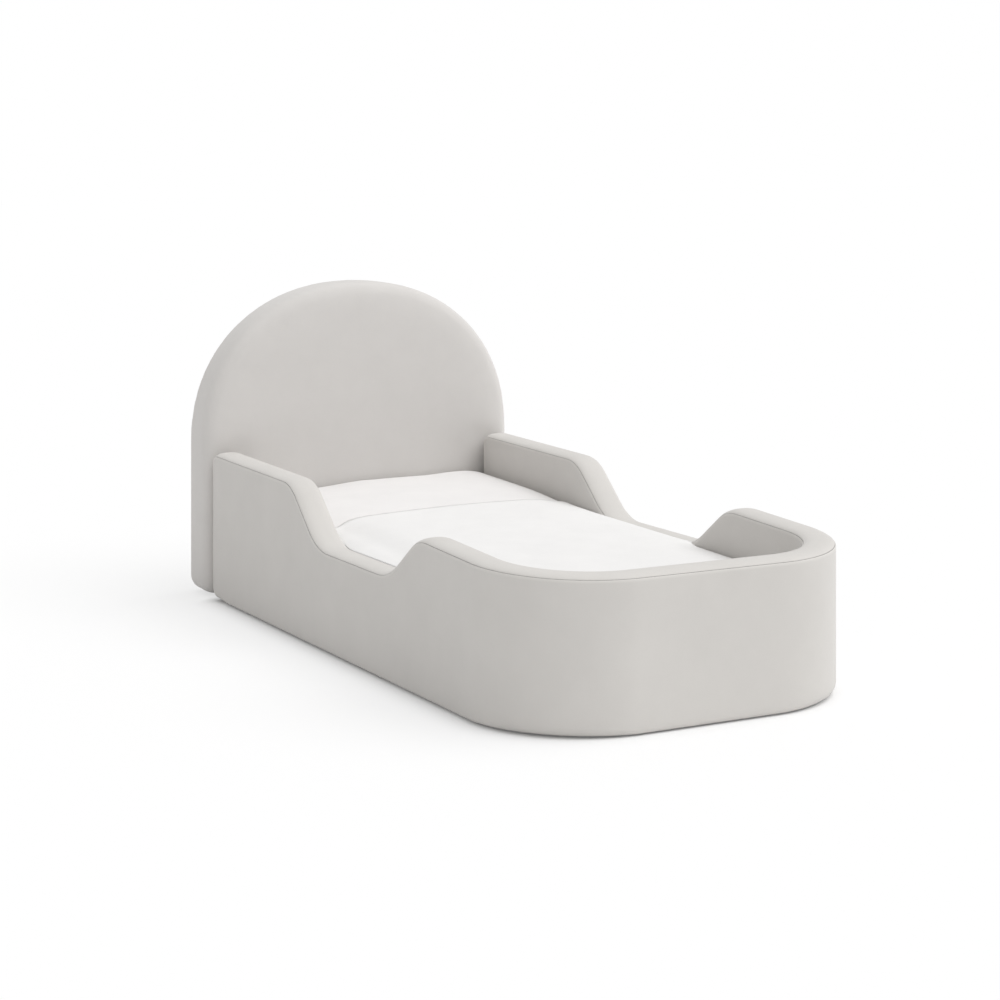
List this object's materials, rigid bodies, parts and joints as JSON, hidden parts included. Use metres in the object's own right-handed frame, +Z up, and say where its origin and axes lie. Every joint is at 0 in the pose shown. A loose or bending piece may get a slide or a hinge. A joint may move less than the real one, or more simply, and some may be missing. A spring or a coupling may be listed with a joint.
{
  "type": "toddler bed",
  "caption": "Upholstered toddler bed with an arched headboard, a U-shaped padded surround with low entries on both sides, a slatted base, mattress and blanket.",
  "frame": {"origin": "on the floor, under the middle of the bed's overall length and width", "axes": "+Z up, +Y from the foot to the headboard, +X across the bed"},
  "size_m": [0.895, 1.8228, 0.803],
  "materials": {
    "grey_fabric": "fine matt woven upholstery, warm light grey",
    "white_fabric": "soft white cotton",
    "foam": "cream polyurethane foam",
    "plywood": "bare plywood",
    "pine": "planed pine",
    "webbing": "woven strap",
    "plastic": "black moulded plastic",
    "steel": "zinc-plated steel"
  },
  "bodies": {
    "frame": {"foot_board": "plywood", "foot_cleat": "pine", "foot_inner_foam": "foam", "foot_outer_foam": "foam", "headboard_arch_hoop": "plywood", "headboard_back_board": "plywood", "headboard_back_cover": "grey_fabric", "headboard_back_foam": "foam", "headboard_bottom_rail": "pine", "headboard_front_board": "plywood", "headboard_front_cover": "grey_fabric", "headboard_front_foam": "foam", "headboard_left_block": "pine", "headboard_left_glide": "plastic", "headboard_left_post": "pine", "headboard_right_block": "pine", "headboard_right_glide": "plastic", "headboard_right_post": "pine", "inner_cover": "grey_fabric", "left_bracket": "steel", "left_cleat": "pine", "left_foot_glide": "plastic", "left_head_glide": "plastic", "left_inner_foam": "foam", "left_lower_bolt": "steel", "left_middle_glide": "plastic", "left_outer_foam": "foam", "left_side_board": "plywood", "left_slat_strap": "webbing", "left_splice_plate": "plywood", "left_upper_bolt": "steel", "outer_cover": "grey_fabric", "right_bracket": "steel", "right_cleat": "pine", "right_foot_glide": "plastic", "right_head_glide": "plastic", "right_inner_foam": "foam", "right_lower_bolt": "steel", "right_middle_glide": "plastic", "right_outer_foam": "foam", "right_side_board": "plywood", "right_slat_strap": "webbing", "right_splice_plate": "plywood", "right_upper_bolt": "steel", "slat_01": "pine", "slat_02": "pine", "slat_03": "pine", "slat_04": "pine", "slat_05": "pine", "slat_06": "pine", "slat_07": "pine", "slat_08": "pine", "slat_09": "pine", "slat_10": "pine", "top_band": "grey_fabric", "top_pad": "foam"},
    "mattress": {"mattress_core": "foam", "mattress_cover_top": "white_fabric", "mattress_cover_base": "white_fabric"},
    "blanket": {"blanket": "white_fabric"}
  },
  "joints": [
    {"name": "mattress_lift", "type": "slide", "parent": "frame", "child": "mattress", "axis": [0, 0, 1], "range_m": [0, 0.35]},
    {"name": "blanket_lift", "type": "slide", "parent": "mattress", "child": "blanket", "axis": [0, 0, 1], "range_m": [0, 0.2]}
  ]
}
